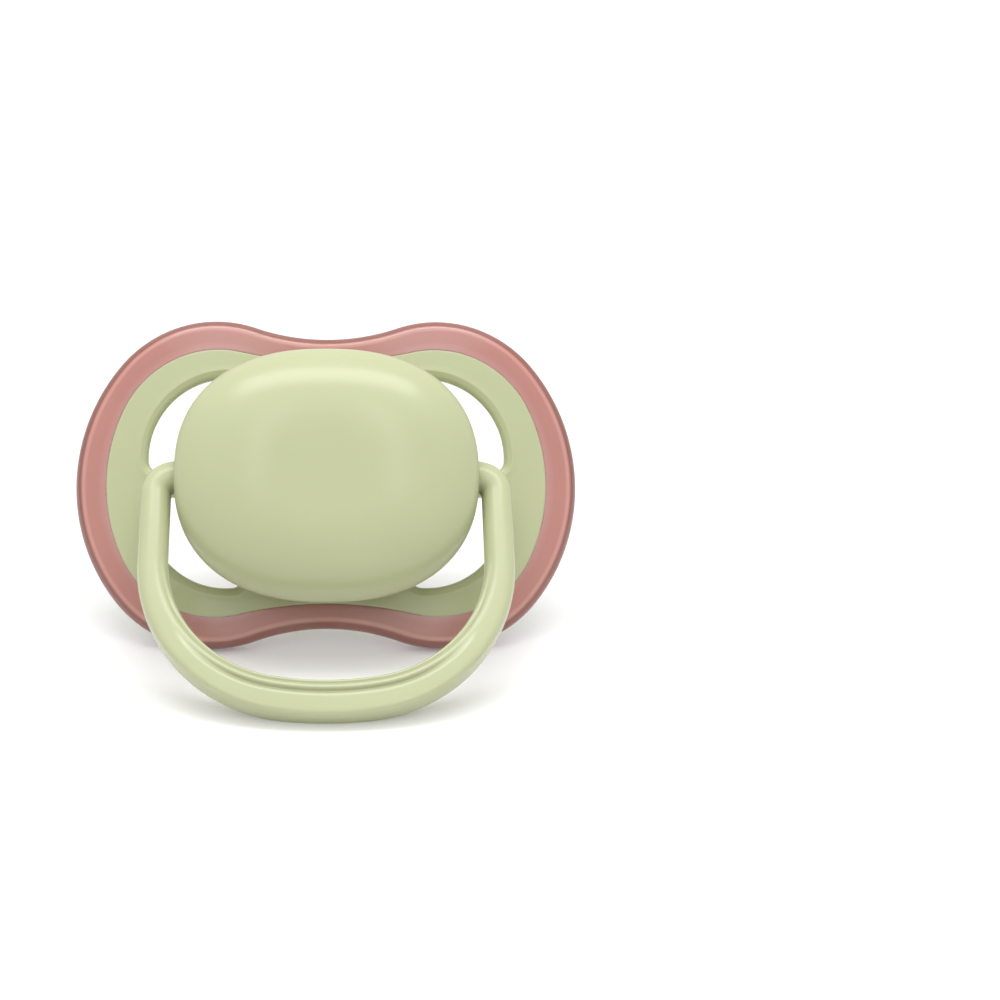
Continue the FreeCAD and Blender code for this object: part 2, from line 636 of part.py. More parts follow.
def teat_profile(sketch, inset, top):
    """Half of the teat's section, closed along its axis: nose, two bulb arcs, neck arc and neck."""
    side = worth("teat_side_curve") - worth(inset)
    front = worth("teat_front_curve") - worth(inset)
    neck_curve = worth("teat_neck_curve") + worth(inset)
    neck_x = worth("teat_neck_radius") - worth(inset)
    widest = -worth("plate_thickness + teat_bulb_at")
    tip = -worth(f"plate_thickness + teat_length - {inset}")
    side_x = worth("teat_bulb_radius - teat_side_curve")
    front_x = worth("teat_bulb_radius - teat_front_curve")
    half_chord = widest - tip
    nose = (half_chord ** 2 + front_x ** 2 - front ** 2) / (2 * (half_chord - front))
    nose_y = tip + nose
    neck_curve_x = neck_x + neck_curve
    neck_curve_y = widest + math.sqrt((side + neck_curve) ** 2 - (neck_curve_x - side_x) ** 2)

    def add_arc(x, y, radius, first, last):
        circle = Part.Circle(Vector(x, y, 0), Vector(0, 0, 1), radius)
        return sketch.addGeometry(Part.ArcOfCircle(circle, first, last), False)

    def add_line(x1, y1, x2, y2):
        return sketch.addGeometry(Part.LineSegment(Vector(x1, y1, 0), Vector(x2, y2, 0)), False)

    nose_turn = math.atan2(nose_y - widest, -front_x)
    neck_turn = math.atan2(neck_curve_y - widest, neck_curve_x - side_x)
    top_y = worth(top)
    nose_arc = add_arc(0, nose_y, nose, -math.pi / 2, nose_turn)
    front_arc = add_arc(front_x, widest, front, nose_turn, 0)
    side_arc = add_arc(side_x, widest, side, 0, neck_turn)
    neck_arc = add_arc(neck_curve_x, neck_curve_y, neck_curve, math.pi, math.pi + neck_turn)
    neck = add_line(neck_x, neck_curve_y, neck_x, top_y)
    lid = add_line(neck_x, top_y, 0, top_y)
    axis = add_line(0, top_y, 0, tip)
    run = (nose_arc, front_arc, side_arc, neck_arc, neck)
    for here, there in zip(run, run[1:]):
        join(sketch, "Tangent", here, there)
    for here, there in ((neck, lid), (lid, axis), (axis, nose_arc)):
        join(sketch, "Coincident", here, there)
    relate(sketch, "Vertical", neck)
    relate(sketch, "Horizontal", lid)
    relate(sketch, "PointOnObject", nose_arc, CENTRE, Y_AXIS)
    relate(sketch, "PointOnObject", axis, START, Y_AXIS)
    relate(sketch, "Horizontal", front_arc, CENTRE, side_arc, CENTRE)
    measure(sketch, f"teat_side_curve - {inset}", "Radius", side_arc)
    measure(sketch, f"teat_front_curve - {inset}", "Radius", front_arc)
    measure(sketch, f"teat_neck_curve + {inset}", "Radius", neck_arc)
    place(sketch, side_arc, CENTRE, "teat_bulb_radius - teat_side_curve",
          "0 - plate_thickness - teat_bulb_at")
    place(sketch, axis, END, "0", f"0 - plate_thickness - teat_length + {inset}")
    place(sketch, lid, START, f"teat_neck_radius - {inset}", top)


def teat(doc):
    """The hollow silicone teat with its clamped flange."""
    body = new_body(doc, "Teat")
    outside = new_sketch(body, "TeatOutside", "XZ_Plane")
    teat_profile(outside, "0", "teat_flange_thickness")
    revolve(body, "Revolution", outside)
    flange = new_sketch(body, "TeatFlange", "XZ_Plane")
    inner = "teat_neck_radius - teat_wall"
    add_polygon(flange, [
        (inner, "0"),
        ("teat_flange_radius", "0"),
        ("teat_flange_radius", "teat_flange_thickness"),
        (inner, "teat_flange_thickness"),
    ])
    revolve(body, "Revolution", flange)
    inside = new_sketch(body, "TeatInside", "XZ_Plane")
    teat_profile(inside, "teat_wall", "teat_flange_thickness + teat_flange_thickness")
    revolve(body, "Groove", inside)
    return body


def cut_through(body, sketch):
    """Pockets a sketch right through the body, both ways."""
    feature = body.newObject("PartDesign::Pocket", sketch.Name + "Pocket")
    feature.Profile = sketch
    feature.Type = "ThroughAll"
    feature.SideType = "Symmetric"
    return feature


def neck_plug(doc):
    """The plug: a clamping disc and a short tube that ends in two tapered, slotted tabs."""
    body = new_body(doc, "NeckPlug")
    section = new_sketch(body, "PlugSection", "XZ_Plane")
    disc_top = "teat_flange_thickness + plug_disc_thickness"
    tip = "0 - plate_thickness - plug_reach"
    add_polygon(section, [
        ("plug_bore_radius", tip),
        ("plug_radius", tip),
        ("plug_radius", "teat_flange_thickness"),
        ("plug_disc_radius", "teat_flange_thickness"),
        ("plug_disc_radius", disc_top),
        ("plug_bore_radius", disc_top),
    ])
    revolve(body, "Revolution", section)
    collar = "0 - plate_thickness - plug_collar"
    beyond = f"{tip} - plug_collar"
    tabs = new_sketch(body, "TabCuts", "YZ_Plane")
    for sign in ("", "0 - "):
        add_polygon(tabs, [
            (sign + "tab_half_foot", collar),
            (sign + "tab_half_top", beyond),
            (sign + "plug_disc_radius", beyond),
            (sign + "plug_disc_radius", collar),
        ])
    cut_through(body, tabs)
    slots = new_sketch(body, "TabSlots", "YZ_Plane")
    lower = f"{tip} + slot_gap"
    for foot in (lower, f"{lower} + slot_height + slot_gap"):
        add_polygon(slots, [
            ("0 - slot_half_width", foot),
            ("slot_half_width", foot),
            ("slot_half_width", f"{foot} + slot_height"),
            ("0 - slot_half_width", f"{foot} + slot_height"),
        ])
    cut_through(body, slots)
    return body


def surface_points(shape):
    """Points close enough together on a shape to find its lowest one."""
    return shape.tessellate(0.01)[0]


def lowest(points, tilt):
    """The least height of points once their own y axis leans back by tilt radians from upright."""
    return min(point.y * math.cos(tilt) + point.z * math.sin(tilt) for point in points)


def settle(drops_with_tilt, low, high):
    """The tilt between low and high at which a falling function is zero, by halving."""
    for _ in range(TILT_STEPS):
        middle = (low + high) / 2
        if drops_with_tilt(middle) > 0:
            low = middle
        else:
            high = middle
    return (low + high) / 2


def leaning(tilt, y, z):
    """A placement that turns a piece's own y axis back by tilt from upright and moves its origin."""
    turn = Rotation(Vector(1, 0, 0), 90 - math.degrees(tilt))
    return Placement(Vector(0, y, z), turn)


def main():
    """Builds the document, rests the part on the ground and writes one file for each sub-part."""
    doc = FreeCAD.newDocument("Pacifier")
    sheet = make_sheet(doc)
    plate, rim, form = shield(doc)
    ring = ring_handle(doc)
    soft_teat = teat(doc)
    plug = neck_plug(doc)
    doc.recompute()
    cover = knob_cover(doc, sheet, form)

    rim_points = surface_points(form.Shape)
    teat_points = surface_points(soft_teat.Shape)
    tilt = settle(lambda angle: lowest(teat_points, angle) - lowest(rim_points, angle),
                  math.radians(10), math.radians(50))
    height = -lowest(rim_points, tilt)
    hinge_y = -sheet.hinge_z * math.cos(tilt)
    hinge_height = height + sheet.hinge_z * math.sin(tilt)
    ring_points = surface_points(ring.Shape)
    ring_tilt = settle(lambda angle: -hinge_height - lowest(ring_points, angle),
                       math.radians(10), math.radians(85))

    pieces = {"shield_plate": plate, "shield_rim": rim, "knob_cover": cover, "ring_handle": ring,
              "teat": soft_teat, "neck_plug": plug}
    for name, piece in pieces.items():
        piece.Label = name
        piece.Placement = leaning(tilt, 0, height)
    ring.Placement = leaning(ring_tilt, hinge_y, hinge_height)
    boxes = [piece.Shape.optimalBoundingBox(False) for piece in pieces.values()]
    middle_y = (min(box.YMin for box in boxes) + max(box.YMax for box in boxes)) / 2
    for piece in pieces.values():
        piece.Placement = Placement(Vector(0, -middle_y, 0), Rotation()).multiply(piece.Placement)

    for item in doc.Objects:
        if "Invalid" in item.State or "Error" in item.State:
            raise RuntimeError(f"{item.Label} is {item.State}")
    os.makedirs("parts", exist_ok=True)
    for name, piece in pieces.items():
        if piece.Shape.isNull() or not piece.Shape.isValid():
            raise RuntimeError(f"{name} has a bad shape")
        piece.Shape.exportStep(f"parts/{name}.step")
    print(f"leans back {math.degrees(tilt):.3f} deg, ring {math.degrees(ring_tilt):.3f} deg, "
          f"hinge at y {hinge_y - middle_y:.4f} z {hinge_height:.4f}, "
          f"shield origin at y {-middle_y:.4f} z {height:.4f}")
    for name, piece in pieces.items():
        box = piece.Shape.optimalBoundingBox(False)
        print(f"{name}: {len(piece.Shape.Solids)} solid, {piece.Shape.Volume:.1f} mm3, "
              f"x {box.XMin:.2f}..{box.XMax:.2f} y {box.YMin:.2f}..{box.YMax:.2f} "
              f"z {box.ZMin:.3f}..{box.ZMax:.2f}")


main()
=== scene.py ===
import json
import math

import bmesh
import bpy
import numpy as np
from mathutils import Matrix, Vector
from mathutils.geometry import delaunay_2d_cdt
from mathutils.kdtree import KDTree


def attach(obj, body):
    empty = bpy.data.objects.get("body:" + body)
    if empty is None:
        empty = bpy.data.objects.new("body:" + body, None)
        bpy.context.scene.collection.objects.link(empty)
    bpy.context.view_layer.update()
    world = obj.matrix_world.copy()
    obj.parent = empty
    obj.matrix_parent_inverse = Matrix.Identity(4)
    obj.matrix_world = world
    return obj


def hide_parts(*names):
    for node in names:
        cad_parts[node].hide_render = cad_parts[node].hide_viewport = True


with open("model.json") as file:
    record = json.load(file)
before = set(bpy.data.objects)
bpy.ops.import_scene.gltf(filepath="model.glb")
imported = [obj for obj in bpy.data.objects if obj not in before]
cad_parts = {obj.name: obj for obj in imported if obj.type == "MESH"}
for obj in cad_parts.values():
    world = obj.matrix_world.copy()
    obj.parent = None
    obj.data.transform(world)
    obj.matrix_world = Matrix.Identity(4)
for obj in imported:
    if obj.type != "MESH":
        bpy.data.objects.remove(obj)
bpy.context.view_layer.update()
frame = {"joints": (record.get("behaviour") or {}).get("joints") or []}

# Shapes are drawn in millimetres in two leaning frames, as in the CAD: the shield's own frame, and the ring's.
# In both, x runs along the hinge, y up the piece's own plane, and z out of its front.
SHIELD_LEAN = 28.303
RING_LEAN = 49.621
HINGE_Z = 3.73
HINGE = Vector(frame["joints"][0]["pos_m"])


def leaning(degrees, origin):
    """The matrix from millimetres in a frame that leans back from upright to metres in the scene."""
    turn = Matrix.Rotation(math.radians(90 - degrees), 4, "X")
    return Matrix.Translation(origin) @ turn @ Matrix.Scale(0.001, 4)


shield_normal = leaning(SHIELD_LEAN, Vector()) @ Vector((0, 0, HINGE_Z))
SHIELD = leaning(SHIELD_LEAN, HINGE - shield_normal)
RING = leaning(RING_LEAN, HINGE)


# Outlines made of tangent arcs

DENSE_SPACING = 0.03
LARGEST_STEP_TURN = 0.16


def tangent_outline(circles, spacing):
    """Points along a closed run of tangent circles (x, y, radius), anticlockwise.

    A negative radius marks a hollow.
    Each row is the circle's centre and signed radius and the outward normal there.
    """
    def normal_between(here, there):
        gap = here[2] - there[2]
        return math.atan2((there[1] - here[1]) / gap, (there[0] - here[0]) / gap)

    rows = []
    for index, (x, y, radius) in enumerate(circles):
        first = normal_between(circles[index - 1], circles[index])
        following = circles[(index + 1) % len(circles)]
        turn = (normal_between(circles[index], following) - first) % (2 * math.pi)
        if radius < 0:
            turn -= 2 * math.pi
        steps = max(int(abs(radius * turn) / spacing), int(abs(turn) / LARGEST_STEP_TURN), 2)
        for step in range(steps):
            angle = first + turn * step / steps
            rows.append((x, y, radius, math.cos(angle), math.sin(angle)))
    return np.array(rows)


def offset_points(rows, outward):
    """The outline moved outward by a distance, or by one distance for each point."""
    reach = (rows[:, 2] + outward)[:, None]
    return rows[:, :2] + reach * rows[:, 3:5]


def dense(circles):
    """An outline's points, close enough together to measure distances from."""
    return offset_points(tangent_outline(circles, DENSE_SPACING), 0)


def beside(rows, gaps, side):
    """Copies of an outline at several distances, outward for side 1 and inward for side -1."""
    return [offset_points(rows, side * gap) for gap in gaps]


def nestled(first, second, radius, side):
    """A circle of this radius that is tangent to two others; side, 1 or -1, picks which of the two."""
    (x1, y1, r1), (x2, y2, r2) = first, second
    reach1, reach2 = abs(r1 - radius), abs(r2 - radius)
    span = math.hypot(x2 - x1, y2 - y1)
    along = (reach1 ** 2 - reach2 ** 2 + span ** 2) / (2 * span)
    across = side * math.sqrt(reach1 ** 2 - along ** 2)
    ux, uy = (x2 - x1) / span, (y2 - y1) / span
    return (x1 + along * ux - across * uy, y1 + along * uy + across * ux, radius)


def butterfly(half_width, end_radius, lobe_x, lobe_radius, waist_radius):
    """The shield's outline: round ends, four lobes and a hollow waist above and below."""
    end_x = half_width - end_radius
    lobe_y = math.sqrt((end_radius - lobe_radius) ** 2 - (lobe_x - end_x) ** 2)
    waist_y = lobe_y + math.sqrt((lobe_radius + waist_radius) ** 2 - lobe_x ** 2)
    upper = [(end_x, 0, end_radius), (lobe_x, lobe_y, lobe_radius),
             (0, waist_y, -waist_radius), (-lobe_x, lobe_y, lobe_radius)]
    return upper + [(-x, -y, radius) for x, y, radius in upper]


def two_fans(half_width, end_radius, shoulder_x, shoulder_radius, hollow_radius, crest_y, crest_radius):
    """The plate's outline at the back: two fans that meet in a crest at each waist."""
    end_x = half_width - end_radius
    shoulder_y = math.sqrt((end_radius - shoulder_radius) ** 2 - (shoulder_x - end_x) ** 2)
    shoulder = (shoulder_x, shoulder_y, shoulder_radius)
    crest = (0, crest_y, crest_radius)
    hollow = nestled(shoulder, crest, -hollow_radius, -1)
    far = [(-x, y, radius) for x, y, radius in (hollow, shoulder)]
    upper = [(end_x, 0, end_radius), shoulder, hollow, crest] + far
    return upper + [(-x, -y, radius) for x, y, radius in upper]


HOLE_OUTER = (11.4, 3.0, 9.1)
HOLE_INNER = (1.0, -3.5, -16.4)
HOLE_FOOT_Y = 1.9
HOLE_FOOT_RADIUS = 60.0
HOLE_TIP_RADIUS = 1.1
HOLE_CORNER_RADIUS = 1.3


def air_hole_circles():
    """The air hole in the quarter where x and y are positive."""
    foot = (HOLE_OUTER[0], HOLE_FOOT_Y - HOLE_FOOT_RADIUS, -HOLE_FOOT_RADIUS)
    tip = nestled(HOLE_OUTER, HOLE_INNER, HOLE_TIP_RADIUS, -1)
    inner_corner = nestled(HOLE_INNER, foot, HOLE_CORNER_RADIUS, 1)
    outer_corner = nestled(foot, HOLE_OUTER, HOLE_CORNER_RADIUS, -1)
    return [HOLE_OUTER, tip, HOLE_INNER, inner_corner, foot, outer_corner]


def at_angles(points, count):
    """A loop round the origin read again at evenly spaced directions."""
    bearing = np.unwrap(np.arctan2(points[:, 1], points[:, 0]))
    start = bearing[0]
    bearing = np.append(bearing, start + 2 * math.pi)
    reach = np.hypot(points[:, 0], points[:, 1])
    reach = np.append(reach, reach[0])
    wanted = start + np.arange(count) * 2 * math.pi / count
    radius = np.interp(wanted, bearing, reach)
    return np.column_stack([radius * np.cos(wanted), radius * np.sin(wanted)])


# Meshes, whose distances are in millimetres until a piece is made

WELD_DISTANCE = 1e-4
SHORTEST_EDGE = 1e-5
GRID_ROW_STEP = 0.866
GRID_CLEARANCE = 0.55
DELAUNAY_TOLERANCE = 1e-7


class Skin:
    """Points and faces gathered from several patches; the patches are welded where they meet."""

    def __init__(self):
        self.points = []
        self.faces = []
        self.smooth = []
        self.marks = {}

    def add(self, points, faces, smooth=True):
        base = len(self.points)
        self.points.extend(map(tuple, points))
        self.faces.extend([base + corner for corner in face] for face in faces)
        self.smooth.extend([smooth] * len(faces))

    def add_strips(self, rows, closed=True, smooth=True):
        """Quads between successive rows of equally many points."""
        rows = [np.asarray(row) for row in rows]
        across = len(rows[0])
        last = across if closed else across - 1
        faces = []
        for level in range(len(rows) - 1):
            for step in range(last):
                following = (step + 1) % across
                here, above = level * across, (level + 1) * across
                faces.append((here + step, here + following, above + following, above + step))
        self.add(np.concatenate(rows), faces, smooth)

    def add_fan(self, loop, centre):
        """Triangles from a loop to one point."""
        count = len(loop)
        faces = [(step, (step + 1) % count, count) for step in range(count)]
        self.add(list(map(tuple, loop)) + [tuple(centre)], faces)

    def piece(self, name, matrix, material, body, nodes, slot):
        """The welded object, riding on its body in place of its CAD nodes."""
        mesh = bpy.data.meshes.new(name)
        mesh.from_pydata(self.points, [], self.faces)
        for label, values in self.marks.items():
            mesh.attributes.new(label, "FLOAT", "POINT").data.foreach_set("value", values)
        mesh.polygons.foreach_set("use_smooth", self.smooth)
        shape = bmesh.new()
        shape.from_mesh(mesh)
        bmesh.ops.remove_doubles(shape, verts=shape.verts, dist=WELD_DISTANCE)
        bmesh.ops.dissolve_degenerate(shape, edges=shape.edges, dist=SHORTEST_EDGE)
        bmesh.ops.recalc_face_normals(shape, faces=shape.faces)
        shape.transform(matrix)
        shape.to_mesh(mesh)
        shape.free()
        made = bpy.data.objects.new(name, mesh)
        bpy.context.scene.collection.objects.link(made)
        mesh.materials.append(material)
        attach(made, body)
        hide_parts(*nodes)
        return made


def inside(points, loops):
    """Whether each point is inside an odd number of the loops."""
    crossings = np.zeros(len(points), dtype=int)
    for loop in loops:
        for (x1, y1), (x2, y2) in zip(loop, np.roll(loop, -1, axis=0)):
            if y1 == y2:
                continue
            spans = (points[:, 1] >= min(y1, y2)) & (points[:, 1] < max(y1, y2))
            crossing_x = x1 + (points[:, 1] - y1) * (x2 - x1) / (y2 - y1)
            crossings += spans & (points[:, 0] < crossing_x)
    return crossings % 2 == 1


def nearest_finder(points):
    """A search tree over plane points."""
    tree = KDTree(len(points))
    for index, (x, y) in enumerate(points):
        tree.insert((x, y, 0), index)
    tree.balance()
    return tree


def fill(loops, extra_rows, spacing):
    """Triangles over the plane region between closed loops: an even grid, and rows of points where asked."""
    loops = [np.asarray(loop) for loop in loops]
    extra = [row[inside(row, loops)] for row in extra_rows]
    fixed = np.concatenate(loops + extra)
    tree = nearest_finder(fixed)
    low, high = loops[0].min(axis=0), loops[0].max(axis=0)
    grid = []
    for row_index, y in enumerate(np.arange(low[1], high[1], spacing * GRID_ROW_STEP)):
        shift = spacing / 2 * (row_index % 2)
        grid.extend((x, y) for x in np.arange(low[0] + shift, high[0], spacing))
    grid = np.array(grid)
    grid = grid[inside(grid, loops)]
    grid = [point for point in grid if tree.find((*point, 0))[2] > GRID_CLEARANCE * spacing]
    points = [Vector(point) for point in fixed] + [Vector(point) for point in grid]
    edges = []
    base = 0
    for loop in loops:
        count = len(loop)
        edges.extend((base + step, base + (step + 1) % count) for step in range(count))
        base += count
    flat, _, triangles, *_ = delaunay_2d_cdt(points, edges, [], 0, DELAUNAY_TOLERANCE)
    flat = np.array([tuple(point) for point in flat])
    triangles = np.array(triangles)
    kept = inside(flat[triangles].mean(axis=1), loops)
    return flat, triangles[kept]


def lifted(points, heights):
    """Plane points with their heights."""
    return np.column_stack([points, np.broadcast_to(heights, len(points))])


def distances_to(points, outline):
    """How far each plane point is from a densely sampled outline."""
    tree = nearest_finder(outline)
    return np.array([tree.find((x, y, 0))[2] for x, y in points])


# The shield: the plate and the rim moulded round it

FRONT_ARCH = 161.0
BACK_ARCH = 131.0
SHIELD_THICKNESS = 3.0
EDGE_ROUND = 1.3
HOLE_ROUND = 1.2
HOLE_BACK_EXTRA = 1.2
HOLE_BACK_DIRECTION = (0.8, 0.6)
HOLE_DROP = 0.8
HOLE_LIP = 0.06
HOLE_LIP_WIDTH = 0.4
PASSAGE_RADIUS = 4.15
SEAM_DEPTH = 0.05
SEAM_WIDTH = 0.07
OUTLINE_SPACING = 0.3
BORDER_POINTS = 720
SHIELD_GRID = 0.6
# Distances from the seam and from the rim's edge at which the faces get rows of points.
NEAR_SEAM = (0.05, 0.1, 0.18, 0.35)
NEAR_EDGE = (0, 0.01, 0.04, 0.09, 0.17, 0.3)
FROM_EDGE = (0.45, 0.7, 1.0, 1.3, 1.6)

RIM = butterfly(29.0, 21.51, 12.96, 14.34, 24.55)
CORE = butterfly(25.3, 20.05, 12.62, 11.88, 43.6)
BACK = two_fans(28.3, 22.3, 19.9, 3.2, 27.0, 13.3, 3.0)


def front_height(points):
    """The shield's front face."""
    return np.sqrt(FRONT_ARCH ** 2 - points[:, 0] ** 2) - FRONT_ARCH


def back_height(points):
    """The shield's back face, without its rounded edge."""
    return np.sqrt(BACK_ARCH ** 2 - points[:, 0] ** 2) - (BACK_ARCH + SHIELD_THICKNESS)


def seam(gap):
    """The depth of the fine seam between the two plastics, by the distance from it."""
    return SEAM_DEPTH * np.exp(-(gap / SEAM_WIDTH) ** 2)


def rounding(gap):
    """How far the back's rounded edge stands above its face, by the distance from the outline."""
    short = np.clip(EDGE_ROUND - gap, 0, EDGE_ROUND)
    return EDGE_ROUND - np.sqrt(EDGE_ROUND ** 2 - short ** 2)


def quarter_turn(steps):
    """Sines and cosines along a quarter circle."""
    return [(math.sin(turn), math.cos(turn)) for turn in np.linspace(0, math.pi / 2, steps)]


def make_shield():
    """The plate and the rim, which meet in one wall between the front border and the back one."""
    rim = tangent_outline(RIM, OUTLINE_SPACING)
    core = tangent_outline(CORE, OUTLINE_SPACING)
    hole = tangent_outline(air_hole_circles(), OUTLINE_SPACING)
    rim_edge, core_edge = dense(RIM), dense(CORE)
    front_border = at_angles(core_edge, BORDER_POINTS)
    back_border = at_angles(dense(BACK), BORDER_POINTS)
    # The holes' outer walls are rounded more softly at the back.
    outward = np.clip(hole[:, 3:5] @ HOLE_BACK_DIRECTION, 0, 1)
    back_round = HOLE_ROUND + HOLE_BACK_EXTRA * outward
    corners = [(1, 1), (-1, 1), (-1, -1), (1, -1)]
    circle = np.linspace(0, 2 * math.pi, 72, endpoint=False)
    passage = PASSAGE_RADIUS * np.column_stack([np.cos(circle), np.sin(circle)])

    wall_top = lifted(front_border, front_height(front_border) - SEAM_DEPTH)
    foot_height = back_height(back_border) + rounding(distances_to(back_border, rim_edge))
    wall_foot = lifted(back_border, foot_height)
    wall = [wall_top + (wall_foot - wall_top) * share for share in (0, 0.25, 0.5, 0.75, 1)]

    def add_front(skin, loops, side):
        flat, triangles = fill(loops, beside(core, NEAR_SEAM, side), SHIELD_GRID)
        skin.add(lifted(flat, front_height(flat) - seam(distances_to(flat, core_edge))), triangles)

    def add_back(skin, loops):
        flat, triangles = fill(loops, beside(rim, FROM_EDGE, -1), SHIELD_GRID)
        skin.add(lifted(flat, back_height(flat) + rounding(distances_to(flat, rim_edge))), triangles)

    plate = Skin()
    front_holes = [offset_points(hole, HOLE_ROUND) * sign for sign in corners]
    back_holes = [offset_points(hole, back_round) * sign for sign in corners]
    add_front(plate, [front_border, passage] + front_holes, -1)
    add_back(plate, [back_border, passage] + back_holes)
    for sign in corners:
        rows = []
        for sine, cosine in quarter_turn(16):
            ring = offset_points(hole, HOLE_ROUND * (1 - sine)) * sign
            lip = HOLE_LIP * math.sin(math.pi * min(sine / HOLE_LIP_WIDTH, 1))
            rows.append(lifted(ring, front_height(ring) - HOLE_DROP * (1 - cosine) + lip))
        for sine, cosine in quarter_turn(10):
            ring = offset_points(hole, back_round * (1 - cosine)) * sign
            rows.append(lifted(ring, back_height(ring) + back_round * (1 - sine)))
        plate.add_strips(rows)
    plate.add_strips([lifted(passage, front_height(passage)), lifted(passage, back_height(passage))])
    plate.add_strips(wall, smooth=False)

    band = Skin()
    add_front(band, [offset_points(rim, -EDGE_ROUND), front_border], 1)
    rows = []
    for sine, cosine in quarter_turn(20):
        ring = offset_points(rim, -EDGE_ROUND * (1 - sine))
        rows.append(lifted(ring, front_height(ring) - EDGE_ROUND * (1 - cosine)))
    for gap in NEAR_EDGE:
        ring = offset_points(rim, -gap)
        rows.append(lifted(ring, back_height(ring) + rounding(np.full(len(ring), gap))))
    band.add_strips(rows)
    add_back(band, [offset_points(rim, -NEAR_EDGE[-1]), back_border])
    band.add_strips(wall, smooth=False)
    return plate, band


# The knob cover

KNOB_HALF_WIDTH, KNOB_HALF_HEIGHT = 17.0, 14.2
KNOB_POWER = 2.35
KNOB_WIDE_Z, KNOB_FRONT_Z = 6.0, 11.3
KNOB_FLAT = 0.3
KNOB_CROWN_POWER = 2.2
KNOB_FOOT_TAPER = 0.1
KNOB_SUNK = 0.1
KNOB_AROUND = 240
KNOB_GRID = 0.5
# The wall up to this height is drawn unrolled, as wide for each radian as the knob's mean radius.
KNOB_WALL_TOP = 7.5
UNROLL = 15.6
MOUTH_RADIUS = 2.3
MOUTH_ROUND = 0.14
MOUTH_POINTS = 64
MOUTH_INNER_X = 15.3
BORE_RADIUS = 2.0
BORE_END_X = 12.9


def knob_reach(bearing):
    """The knob's outline: its distance from the middle, by direction."""
    across = np.abs(np.cos(bearing)) / KNOB_HALF_WIDTH
    up = np.abs(np.sin(bearing)) / KNOB_HALF_HEIGHT
    return (across ** KNOB_POWER + up ** KNOB_POWER) ** (-1 / KNOB_POWER)


def knob_scale(z):
    """How much of its widest outline the knob has at a height."""
    below = 1 - KNOB_FOOT_TAPER * (np.clip(KNOB_WIDE_Z - z, 0, None) / KNOB_WIDE_Z) ** 2
    rise = np.clip((z - KNOB_WIDE_Z) / (KNOB_FRONT_Z - KNOB_WIDE_Z), 0, 1)
    share = (1 - rise ** 2) ** (1 / KNOB_CROWN_POWER)
    return np.where(z > KNOB_WIDE_Z, KNOB_FLAT + (1 - KNOB_FLAT) * share, below)


def knob_points(bearing, z):
    """Points of the knob's surface by direction and height, with its foot sunk just below the shield's face."""
    reach = knob_reach(bearing) * knob_scale(z)
    plane = np.column_stack([reach * np.cos(bearing), reach * np.sin(bearing)])
    face = front_height(plane) - KNOB_SUNK
    return lifted(plane, np.where(z < 1, face + (1 - face) * z, z))


